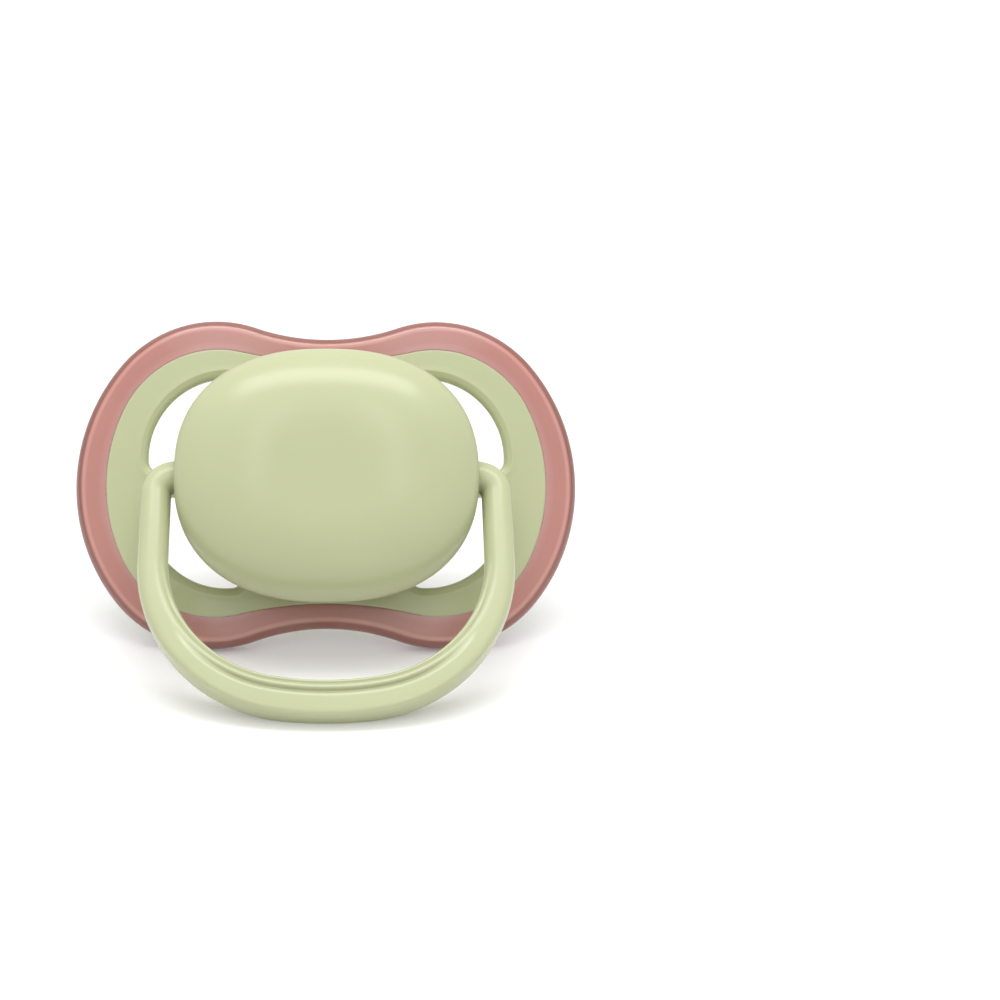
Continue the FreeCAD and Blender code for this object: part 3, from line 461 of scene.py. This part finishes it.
def make_knob():
    """The cover: its unrolled wall with the bearing mouths, its crown, its foot and the bores."""
    knob = Skin()
    bearings = -math.pi / 2 + np.linspace(0, 2 * math.pi, KNOB_AROUND + 1)
    levels = np.linspace(0, KNOB_WALL_TOP, 17)

    def unrolled(bearing, z):
        return np.column_stack([bearing * UNROLL, np.broadcast_to(z, np.shape(bearing))])

    def upright(bearing, heights):
        return unrolled(np.full(len(heights), bearing), heights)

    border = np.concatenate([
        unrolled(bearings, 0), upright(bearings[-1], levels[1:-1]),
        unrolled(bearings[::-1], KNOB_WALL_TOP), upright(bearings[0], levels[-2:0:-1]),
    ])
    table = np.linspace(-0.6, 0.6, 600)
    table_reach = knob_reach(table) * np.sin(table)
    turn = np.linspace(0, 2 * math.pi, MOUTH_POINTS, endpoint=False)

    def circle(radius):
        return radius * np.cos(turn), HINGE_Z + radius * np.sin(turn)

    def mouth(radius):
        """A circle about the hinge on the knob's right-hand wall, as bearings and heights."""
        y, z = circle(radius)
        return np.interp(y / knob_scale(z), table_reach, table), z

    def on_both_sides(bearing, z):
        return [unrolled(bearing, z), unrolled(math.pi - bearing, z)]

    lip_bearing, lip_z = mouth(MOUTH_RADIUS + MOUTH_ROUND)
    holes = on_both_sides(lip_bearing, lip_z)
    extra = on_both_sides(*mouth(MOUTH_RADIUS + 3 * MOUTH_ROUND))
    flat, triangles = fill([border] + holes, extra, KNOB_GRID)
    knob.add(knob_points(flat[:, 0] / UNROLL, flat[:, 1]), triangles)

    around = bearings[:-1]
    first_turn = math.asin((KNOB_WALL_TOP - KNOB_WIDE_Z) / (KNOB_FRONT_Z - KNOB_WIDE_Z))
    rows = []
    for angle in np.linspace(first_turn, math.pi / 2, 34):
        z = KNOB_WIDE_Z + (KNOB_FRONT_Z - KNOB_WIDE_Z) * math.sin(angle)
        rows.append(knob_points(around, np.full(KNOB_AROUND, z)))
    flat_row = rows[-1]
    rows.extend(flat_row * (share, share, 1) for share in (0.8, 0.6, 0.4, 0.2))
    knob.add_strips(rows)
    knob.add_fan(rows[-1], (0, 0, KNOB_FRONT_Z))

    foot = knob_points(around, np.zeros(KNOB_AROUND))
    flat, triangles = fill([foot[:, :2]], [], 1.2)
    knob.add(lifted(flat, front_height(flat) - KNOB_SUNK), triangles)

    lip = knob_points(lip_bearing, lip_z)
    for side in (1, -1):
        rows = [lip * (side, 1, 1)]
        for sine, cosine in quarter_turn(5)[1:]:
            x = lip[:, 0] - MOUTH_ROUND * (1 - cosine)
            rows.append(np.column_stack([side * x, *circle(MOUTH_RADIUS + MOUTH_ROUND * (1 - sine))]))
        bore = ((MOUTH_RADIUS, MOUTH_INNER_X), (BORE_RADIUS, MOUTH_INNER_X), (BORE_RADIUS, BORE_END_X))
        for radius, x in bore:
            rows.append(np.column_stack([np.full(MOUTH_POINTS, side * x), *circle(radius)]))
        knob.add_strips(rows)
        knob.add_fan(rows[-1], (side * BORE_END_X, 0, HINGE_Z))
    return knob


# The ring handle

RING_HALF_THICKNESS = 1.8
PIN_RADIUS = 1.95
PIN_END_X = 13.0
STUB_X = 16.2
RING_BAR_RADIUS = 32.0
PIN_CHAMFER = 0.2
# The finger grip's grooves: distance from the inner edge, half width, depth, and the share of the half bar that
# they reach over.
GRIP_GROOVES = ((0.64, 0.24, 0.32, 1.0), (1.56, 0.3, 0.42, 0.75))
RING_SECTION_POINTS = 160


def arc_points(x, y, radius, first, last, count):
    """Points along an arc, by the angles of its ends in degrees."""
    turn = np.radians(np.linspace(first, last, count))
    return np.column_stack([x + radius * np.cos(turn), y + radius * np.sin(turn)])


def joined(runs):
    """Runs of points in one row, where each run starts at the last one's end."""
    return np.concatenate([runs[0]] + [run[1:] for run in runs[1:]])


def eased(share):
    """A share from 0 to 1 that starts and ends softly."""
    return share ** 2 * (3 - 2 * share)


def ring_side(reach, arm_x, corner, elbow_top, elbow_radius, counts):
    """One edge of the ring's right half: from the stub's end over the elbow and down to the bar's middle.

    elbow_top is the height of the stub's edge, and the arm starts one elbow radius below it.
    """
    bar_y = RING_BAR_RADIUS - reach
    corner_x = arm_x - corner
    corner_y = bar_y - math.sqrt((RING_BAR_RADIUS - corner) ** 2 - corner_x ** 2)
    meeting = math.degrees(math.atan2(corner_y - bar_y, corner_x))
    elbow_x, elbow_y = arm_x - elbow_radius, elbow_top - elbow_radius
    runs = [
        np.linspace((STUB_X, elbow_top), (elbow_x, elbow_top), counts[0]),
        arc_points(elbow_x, elbow_y, elbow_radius, 90, 0, counts[1]),
        np.linspace((arm_x, elbow_y), (arm_x, corner_y), counts[2]),
        arc_points(corner_x, corner_y, corner, 0, meeting, counts[3]),
        arc_points(0, bar_y, RING_BAR_RADIUS, meeting, -90, counts[4]),
    ]
    return joined(runs)


def ring_section(half_width, half_thickness, outer_power, inner_power):
    """A section of the ring, as evenly spaced distances from its middle line and heights."""
    turn = np.linspace(0, 2 * math.pi, 1441)
    power = np.where(np.cos(turn) > 0, outer_power, inner_power)
    across = half_width * np.sign(np.cos(turn)) * np.abs(np.cos(turn)) ** (2 / power)
    height = half_thickness * np.sign(np.sin(turn)) * np.abs(np.sin(turn)) ** (2 / power)
    length = np.concatenate([[0], np.cumsum(np.hypot(np.diff(across), np.diff(height)))])
    stops = np.linspace(0, length[-1], RING_SECTION_POINTS, endpoint=False)
    return np.interp(stops, length, across), np.interp(stops, length, height)


def make_ring():
    """The ring in its own plane: both edges station by station, a section at each, and the two pins."""
    counts = (4, 22, 24, 60, 40)
    outer = ring_side(reach=29.2, arm_x=20.75, corner=18.0, elbow_top=PIN_RADIUS - 0.15, elbow_radius=4.0,
                      counts=counts)
    inner = ring_side(reach=25.0, arm_x=17.35, corner=14.2, elbow_top=-PIN_RADIUS, elbow_radius=0.4,
                      counts=counts)
    stations = len(outer)
    stub_end, elbow_end, arm_end = counts[0] - 1, sum(counts[:2]) - 2, sum(counts[:3]) - 3
    index = np.arange(stations)
    # How far along each stage of the ring a station is, from 0 to 1.
    elbow_share = np.clip((index - stub_end) / (elbow_end - stub_end), 0, 1)
    bar_share = np.clip((index - arm_end) / (stations - 1 - arm_end), 0, 1)
    smooth_elbow = eased(elbow_share)
    smooth_bar = eased(np.clip(bar_share * 1.5, 0, 1))
    half_thickness = PIN_RADIUS + (RING_HALF_THICKNESS - PIN_RADIUS) * smooth_elbow
    inner_power = 2 + 1.6 * smooth_bar
    outer_power = 2 + 0.3 * smooth_elbow + 7.5 * smooth_bar
    ring = Skin()
    rows = []
    grips = []
    for station in range(stations):
        middle = (outer[station] + inner[station]) / 2
        half_width = np.linalg.norm(outer[station] - inner[station]) / 2
        along = (outer[station] - inner[station]) / (2 * half_width)
        across, height = ring_section(half_width, half_thickness[station],
                                      outer_power[station], inner_power[station])
        from_inner = half_width + across
        grip = np.zeros(RING_SECTION_POINTS)
        for place, width, depth, reach in GRIP_GROOVES:
            fade = np.clip((bar_share[station] - (1 - reach)) / 0.25, 0, 1)
            grip += depth * fade * np.exp(-((from_inner - place) / width) ** 2)
        plane = middle + across[:, None] * along
        grip = np.where(height > 0, grip, 0)
        grips.append(grip)
        rows.append(np.column_stack([plane, height - grip]))
    mirrored = [row * (-1, 1, 1) for row in rows[-2::-1]]
    section = np.linspace(0, 2 * math.pi, RING_SECTION_POINTS, endpoint=False)
    pin = []
    for x in (PIN_END_X, PIN_END_X + PIN_CHAMFER, 15.8, STUB_X - 0.1):
        radius = PIN_RADIUS - (PIN_CHAMFER if x == PIN_END_X else 0)
        pin.append(np.column_stack([np.full(RING_SECTION_POINTS, x),
                                    radius * np.cos(section), radius * np.sin(section)]))
    ring.add_strips(pin + rows + mirrored + [row * (-1, 1, 1) for row in pin[::-1]])
    for side in (1, -1):
        ring.add_fan(pin[0] * (side, 1, 1), (side * PIN_END_X, 0, 0))
    # Groove depth for each point, which the green material turns into a painted highlight on the groove
    # shoulders and painted shade in the groove bottoms.
    grooves = np.zeros(len(ring.points))
    gripped = np.concatenate(grips + grips[-2::-1])
    first = len(pin) * RING_SECTION_POINTS
    grooves[first:first + len(gripped)] = gripped / max(depth for _, _, depth, _ in GRIP_GROOVES)
    ring.marks["groove_light_and_shade"] = grooves
    return ring


# The teat and the plug inside its neck

PLATE_BACK_Z = -SHIELD_THICKNESS
TEAT_LENGTH = 28.5
TEAT_BULB_AT = 18.8
TEAT_BULB_RADIUS = 6.93
TEAT_SIDE_ARC = 17.5
TEAT_FRONT_ARC = 13.0
TEAT_NECK_ARC = 30.0
TEAT_NECK_RADIUS = 4.03
TEAT_WALL = 1.1
TEAT_FLANGE_RADIUS = 6.6
TEAT_FLANGE_TOP = 1.2


def teat_profile(inset, top):
    """The teat's outline as radii and heights, from its tip to a height in the neck, moved in by inset."""
    side, front = TEAT_SIDE_ARC - inset, TEAT_FRONT_ARC - inset
    neck_curve, neck_x = TEAT_NECK_ARC + inset, TEAT_NECK_RADIUS - inset
    widest = PLATE_BACK_Z - TEAT_BULB_AT
    tip = PLATE_BACK_Z - TEAT_LENGTH + inset
    side_x, front_x = TEAT_BULB_RADIUS - TEAT_SIDE_ARC, TEAT_BULB_RADIUS - TEAT_FRONT_ARC
    half_chord = widest - tip
    nose = (half_chord ** 2 + front_x ** 2 - front ** 2) / (2 * (half_chord - front))
    nose_y = tip + nose
    curve_x = neck_x + neck_curve
    curve_y = widest + math.sqrt((side + neck_curve) ** 2 - (curve_x - side_x) ** 2)
    nose_turn = math.degrees(math.atan2(nose_y - widest, -front_x))
    neck_turn = math.degrees(math.atan2(curve_y - widest, curve_x - side_x))
    runs = [
        arc_points(0, nose_y, nose, -90, nose_turn, 30),
        arc_points(front_x, widest, front, nose_turn, 0, 30),
        arc_points(side_x, widest, side, 0, neck_turn, 30),
        arc_points(curve_x, curve_y, neck_curve, 180 + neck_turn, 180, 30),
        np.linspace((neck_x, curve_y), (neck_x, top), 8),
    ]
    return joined(runs)


def spun(profile, count=96):
    """Rings of points from radii and heights."""
    turn = np.linspace(0, 2 * math.pi, count, endpoint=False)
    return [np.column_stack([radius * np.cos(turn), radius * np.sin(turn), np.full(count, height)])
            for radius, height in profile]


def make_teat():
    """The hollow teat, turned from its outside, its flange and its inside wall."""
    teat = Skin()
    outside = teat_profile(0, 0)
    inside_wall = teat_profile(TEAT_WALL, TEAT_FLANGE_TOP)
    flange = [(TEAT_FLANGE_RADIUS, 0), (TEAT_FLANGE_RADIUS, TEAT_FLANGE_TOP)]
    profile = list(map(tuple, outside[1:])) + flange + list(map(tuple, inside_wall[:0:-1]))
    rings = spun(profile)
    teat.add_strips(rings)
    teat.add_fan(rings[0], (0, 0, outside[0][1]))
    teat.add_fan(rings[-1], (0, 0, inside_wall[0][1]))
    return teat


PLUG_RADIUS = 2.88
PLUG_BORE = 2.0
PLUG_DISC_RADIUS = 7.0
PLUG_DISC_TOP = 2.6
PLUG_CHAMFER = 0.1
TAB_TIP, TAB_FOOT = -2.8, -0.5
TAB_TIP_HALF_WIDTH, TAB_FOOT_HALF_WIDTH = 1.2, 2.1
TAB_CORNER = 0.35
TAB_THICKNESS = 0.8
SLOT_HALF_WIDTH, SLOT_HEIGHT = 0.75, 0.5


def make_plug():
    """The disc and tube, and two tapered tabs with two slots each."""
    plug = Skin()
    collar, tip = PLATE_BACK_Z + TAB_FOOT, PLATE_BACK_Z + TAB_TIP
    plug.add_strips(spun([
        (PLUG_BORE, PLUG_DISC_TOP), (PLUG_DISC_RADIUS, PLUG_DISC_TOP), (PLUG_DISC_RADIUS, TEAT_FLANGE_TOP),
        (PLUG_RADIUS, TEAT_FLANGE_TOP),
        (PLUG_RADIUS, collar + PLUG_CHAMFER), (PLUG_RADIUS - PLUG_CHAMFER, collar),
        (PLUG_BORE + PLUG_CHAMFER, collar), (PLUG_BORE, collar + PLUG_CHAMFER), (PLUG_BORE, PLUG_DISC_TOP),
    ]))

    def half_width(z):
        share = (collar - z) / (collar - tip)
        return TAB_FOOT_HALF_WIDTH + (TAB_TIP_HALF_WIDTH - TAB_FOOT_HALF_WIDTH) * share

    corner_z = tip + TAB_CORNER
    outline = [(half_width(z), z) for z in np.linspace(collar + 0.3, corner_z, 9)]
    outline.extend(arc_points(half_width(tip) - TAB_CORNER, corner_z, TAB_CORNER, 0, -90, 6)[1:])
    outline.extend([(-y, z) for y, z in outline[::-1]])
    slots = []
    for foot in (tip + 0.45, tip + 1.4):
        top = foot + SLOT_HEIGHT
        slots.append(np.array([(-SLOT_HALF_WIDTH, foot), (SLOT_HALF_WIDTH, foot),
                               (SLOT_HALF_WIDTH, top), (-SLOT_HALF_WIDTH, top)]))
    loops = [np.array(outline)] + slots
    flat, triangles = fill(loops, [], 0.3)

    def wrapped(points, side, depth):
        """The tab's plane points laid round the tube, at a depth below its surface."""
        x = np.sqrt(PLUG_RADIUS ** 2 - points[:, 0] ** 2) - depth
        return np.column_stack([side * x, points])

    for side in (1, -1):
        for depth in (0, TAB_THICKNESS):
            plug.add(wrapped(flat, side, depth), triangles)
        for loop in loops:
            plug.add_strips([wrapped(loop, side, depth) for depth in (0, TAB_THICKNESS)])
    return plug


# Materials

GLOSS_DRIFT = 0.03
RIM_EDGE_BAND = 4
BARE_FADE = 0.6
BARE_START = 0.3

def new_material(name):
    material = bpy.data.materials.new(name)
    material.use_nodes = True
    nodes = material.node_tree.nodes
    return material, nodes, material.node_tree.links, nodes["Principled BSDF"]


def noise(nodes, links, scale, detail):
    """Noise over the object's own coordinates."""
    place = nodes.new("ShaderNodeTexCoord")
    texture = nodes.new("ShaderNodeTexNoise")
    texture.inputs["Scale"].default_value = scale
    texture.inputs["Detail"].default_value = detail
    links.new(place.outputs["Object"], texture.inputs["Vector"])
    return texture.outputs["Fac"]


def between(nodes, links, share, low, high):
    """A value from low to high as share goes from 0 to 1; low is a number or another node's output."""
    blend = nodes.new("ShaderNodeMapRange")
    if isinstance(low, bpy.types.NodeSocket):
        links.new(low, blend.inputs["To Min"])
    else:
        blend.inputs["To Min"].default_value = low
    blend.inputs["To Max"].default_value = high
    links.new(share, blend.inputs["Value"])
    return blend.outputs["Result"]


def add_grain(nodes, links, shader, height, strength, distance):
    """A fine bump on the shader's normal."""
    bump = nodes.new("ShaderNodeBump")
    bump.inputs["Strength"].default_value = strength
    bump.inputs["Distance"].default_value = distance
    links.new(height, bump.inputs["Height"])
    links.new(bump.outputs["Normal"], shader.inputs["Normal"])


def moulded(name, light, dark, roughness, grain, subsurface, subsurface_scale, transmission=0.0):
    """Moulded plastic: soft colour drift, fine grain and a slightly uneven gloss."""
    material, nodes, links, shader = new_material(name)
    drift = noise(nodes, links, 55, 3)
    colour = nodes.new("ShaderNodeValToRGB")
    dark_end, light_end = colour.color_ramp.elements
    dark_end.position, light_end.position = 0.3, 0.7
    dark_end.color, light_end.color = (*dark, 1), (*light, 1)
    links.new(drift, colour.inputs["Fac"])
    links.new(colour.outputs["Color"], shader.inputs["Base Color"])
    add_grain(nodes, links, shader, noise(nodes, links, 2600, 4), grain, 0.00003)
    gloss = between(nodes, links, drift, roughness - GLOSS_DRIFT, roughness + GLOSS_DRIFT)
    links.new(gloss, shader.inputs["Roughness"])
    shader.inputs["Subsurface Weight"].default_value = subsurface
    shader.inputs["Subsurface Radius"].default_value = (1.0, 0.75, 0.6)
    shader.inputs["Subsurface Scale"].default_value = subsurface_scale
    shader.inputs["Transmission Weight"].default_value = transmission
    shader.inputs["IOR"].default_value = 1.49
    return material


def linear(code):
    """A colour from its sRGB code."""
    values = [int(code[start:start + 2], 16) / 255 for start in (0, 2, 4)]
    return tuple(value / 12.92 if value <= 0.04045 else ((value + 0.055) / 1.055) ** 2.4 for value in values)


def shade_by(material, attribute, stops):
    """Multiplies a material's base colour by a ramp of colours over one of the mesh's attributes."""
    nodes, links = material.node_tree.nodes, material.node_tree.links
    base = nodes["Principled BSDF"].inputs["Base Color"]
    plain = base.links[0].from_socket
    read = nodes.new("ShaderNodeAttribute")
    read.attribute_name = attribute
    shades = nodes.new("ShaderNodeValToRGB")
    elements = shades.color_ramp.elements
    elements[0].position, elements[0].color = stops[0][0], (*stops[0][1], 1)
    elements[1].position, elements[1].color = stops[-1][0], (*stops[-1][1], 1)
    for place, shade in stops[1:-1]:
        elements.new(place).color = (*shade, 1)
    links.new(read.outputs["Fac"], shades.inputs["Fac"])
    shaded = nodes.new("ShaderNodeMix")
    shaded.data_type = "RGBA"
    shaded.blend_type = "MULTIPLY"
    shaded.inputs["Factor"].default_value = 1
    links.new(plain, shaded.inputs["A"])
    links.new(shades.outputs["Color"], shaded.inputs["B"])
    links.new(shaded.outputs["Result"], base)


def mark_rim(rim):
    """Marks each point of the rim: how near the edge it is, and whether it has no plate layer behind it; both
    marks carry painted light on the rim.
    """
    to_shield = SHIELD.inverted()
    places = np.array([(to_shield @ vertex.co)[:2] for vertex in rim.data.vertices])
    gaps = distances_to(places, dense(RIM))
    back = dense(BACK)
    reach = distances_to(places, back) * np.where(inside(places, [back]), -1, 1)
    # edge drives the painted highlight and painted shade along the rim's edge; bare drives painted light
    # shining through where no plate is behind.
    marks = {
        "edge": 1 - np.clip(gaps / RIM_EDGE_BAND, 0, 1),
        "bare": np.clip(reach / BARE_FADE + BARE_START, 0, 1),
    }
    for label, values in marks.items():
        rim.data.attributes.new(label, "FLOAT", "POINT").data.foreach_set("value", values)


def silicone():
    """Clear silicone that is frosted over the bulb and glossy in the neck."""
    material, nodes, links, shader = new_material("silicone")
    frost = nodes.new("ShaderNodeAttribute")
    frost.attribute_name = "frost"
    links.new(between(nodes, links, frost.outputs["Fac"], 0.06, 0.42), shader.inputs["Roughness"])
    links.new(between(nodes, links, frost.outputs["Fac"], 0.97, 0.45), shader.inputs["Transmission Weight"])
    shader.inputs["Base Color"].default_value = (*linear("F4F4F2"), 1)
    shader.inputs["IOR"].default_value = 1.41
    add_grain(nodes, links, shader, noise(nodes, links, 1500, 2), 0.12, 0.00004)
    return material


def frost_teat(teat):
    """Marks each point of the teat as frosted or clear: the clear neck ends in arches."""
    to_shield = SHIELD.inverted()
    values = teat.data.attributes.new("frost", "FLOAT", "POINT")
    for vertex, value in zip(teat.data.vertices, values.data):
        x, y, z = to_shield @ vertex.co
        behind = PLATE_BACK_Z - z
        bearing = math.atan2(y, x)
        arch = 8.4 + 1.3 * abs(math.cos(1.5 * bearing)) ** 0.5
        value.value = min(max((behind - arch) / 0.35 + 0.5, 0), 1)


green = moulded("green_plastic", linear("B3B891"), linear("AFB48D"), 0.24, 0.05, 0.12, 0.0012)
pink = moulded("pink_plastic", linear("C38C83"), linear("BE877E"), 0.16, 0.06, 0.5, 0.0022, 0.15)
# Painted light: the rim is lighter and paler where no plate layer is behind it, standing in for light shining
# through the pink.
shade_by(pink, "bare", ((0, (1, 1, 1)), (1, (1, 1.08, 1.12))))
# Painted light by nearness to the edge: lighter more than about 3 mm in from the edge, a painted highlight line
# about 1 mm in from the edge, and painted shade on the outer 0.6 mm of the rounded edge.
shade_by(pink, "edge", ((0.12, (1.1, 1.17, 1.24)), (0.36, (0.98, 0.98, 0.98)), (0.66, (0.98, 0.98, 0.98)),
                        (0.72, (1.14, 1.25, 1.25)), (0.77, (1.14, 1.25, 1.25)), (0.84, (0.56, 0.47, 0.44))))
# Painted highlight on the shoulders of the grip grooves and painted shade in their bottoms.
shade_by(green, "groove_light_and_shade", ((0, (1, 1, 1)), (0.12, (1.1, 1.1, 1.22)), (0.4, (1, 1, 1)),
                           (0.75, (0.84, 0.84, 0.82))))
clear_silicone = silicone()

plate_skin, band_skin = make_shield()
plate_skin.piece("plate_look", SHIELD, green, "shield_and_teat", ["shield_plate"], "green_plastic")
rim_piece = band_skin.piece("rim_look", SHIELD, pink, "shield_and_teat", ["shield_rim"], "pink_plastic")
mark_rim(rim_piece)
make_knob().piece("knob_look", SHIELD, green, "shield_and_teat", ["knob_cover"], "green_plastic")
make_ring().piece("ring_look", RING, green, "ring", ["ring_handle"], "green_plastic")
teat_piece = make_teat().piece("teat_look", SHIELD, clear_silicone, "shield_and_teat", ["teat"], "silicone")
frost_teat(teat_piece)
make_plug().piece("plug_look", SHIELD, green, "shield_and_teat", ["neck_plug"], "green_plastic")


# The stage, the lights and the camera

FLOOR_SIZE = 3.0


def make_floor():
    """A white paper floor that glows a little, so that it stays white away from the object."""
    mesh = bpy.data.meshes.new("floor")
    signs = ((-1, -1), (1, -1), (1, 1), (-1, 1))
    mesh.from_pydata([(x * FLOOR_SIZE, y * FLOOR_SIZE, 0) for x, y in signs], [], [(0, 1, 2, 3)])
    floor = bpy.data.objects.new("floor", mesh)
    bpy.context.scene.collection.objects.link(floor)
    material, _, _, shader = new_material("floor_paint")
    shader.inputs["Roughness"].default_value = 0.7
    shader.inputs["Base Color"].default_value = (0.74, 0.74, 0.74, 1)
    shader.inputs["Emission Color"].default_value = (1, 0.98, 1, 1)
    shader.inputs["Emission Strength"].default_value = 0.17
    mesh.materials.append(material)


def area_light(name, place, target, size, power):
    """A rectangular soft box at a place, facing a target."""
    light = bpy.data.lights.new(name, "AREA")
    light.shape = "RECTANGLE"
    light.size, light.size_y = size
    light.energy = power
    lamp = bpy.data.objects.new(name, light)
    lamp.location = place
    lamp.rotation_euler = (Vector(target) - Vector(place)).to_track_quat("-Z", "Y").to_euler()
    bpy.context.scene.collection.objects.link(lamp)


def make_world(horizon, zenith, in_reflections, to_camera):
    """A white surround that is brightest overhead, but even in reflections and to the camera."""
    world = bpy.data.worlds.new("studio")
    world.use_nodes = True
    nodes, links = world.node_tree.nodes, world.node_tree.links
    place = nodes.new("ShaderNodeTexCoord")
    split = nodes.new("ShaderNodeSeparateXYZ")
    links.new(place.outputs["Generated"], split.inputs["Vector"])
    path = nodes.new("ShaderNodeLightPath")
    sky = between(nodes, links, split.outputs["Z"], horizon, zenith)
    mirrored = between(nodes, links, path.outputs["Is Glossy Ray"], sky, in_reflections)
    strength = between(nodes, links, path.outputs["Is Camera Ray"], mirrored, to_camera)
    nodes["Background"].inputs["Color"].default_value = (1, 1, 1, 1)
    links.new(strength, nodes["Background"].inputs["Strength"])
    bpy.context.scene.world = world


def sun_light(name, place, strength, spread):
    """A light from far away in the direction of a place, as wide as its spread in degrees."""
    light = bpy.data.lights.new(name, "SUN")
    light.energy = strength
    light.angle = math.radians(spread)
    lamp = bpy.data.objects.new(name, light)
    lamp.rotation_euler = Vector(place).to_track_quat("Z", "Y").to_euler()
    bpy.context.scene.collection.objects.link(lamp)


SENSOR_WIDTH = 36
LENS = 71.3
SIDE_SHIFT = 0.118
CAMERA_BEFORE = 0.21167
CAMERA_ABOVE = 0.08049
CAMERA_PITCH = 21.35
CAMERA_PAN = -1.6


def make_camera():
    """The photograph's view: before the object's middle plane, looking down, with the object left of centre."""
    data = bpy.data.cameras.new("camera")
    data.sensor_width = SENSOR_WIDTH
    data.lens = LENS
    data.shift_x = SIDE_SHIFT
    data.clip_start, data.clip_end = 0.01, 10
    camera = bpy.data.objects.new("camera", data)
    shield_origin = SHIELD.to_translation()
    camera.matrix_world = (
        Matrix.Translation((0, shield_origin.y - CAMERA_BEFORE, shield_origin.z + CAMERA_ABOVE))
        @ Matrix.Rotation(math.radians(90 - CAMERA_PITCH), 4, "X")
        @ Matrix.Rotation(math.radians(CAMERA_PAN), 4, "Y")
    )
    bpy.context.scene.collection.objects.link(camera)
    bpy.context.scene.camera = camera


make_floor()
make_world(0.12, 1.68, 0.8, 1.0)
sun_light("overhead", (0, -0.15, 1), 0.3, 70)
area_light("top_soft_box", (0, -0.016, 0.2), (0, -0.005, 0.02), (0.2, 0.06), 0.155)
for side in (1, -1):
    area_light("side_soft_box", (side * 0.078, -0.272, 0.283), (0, 0, 0.02), (0.06, 0.2), 0.05)
make_camera()
bpy.context.scene.view_settings.view_transform = "Standard"
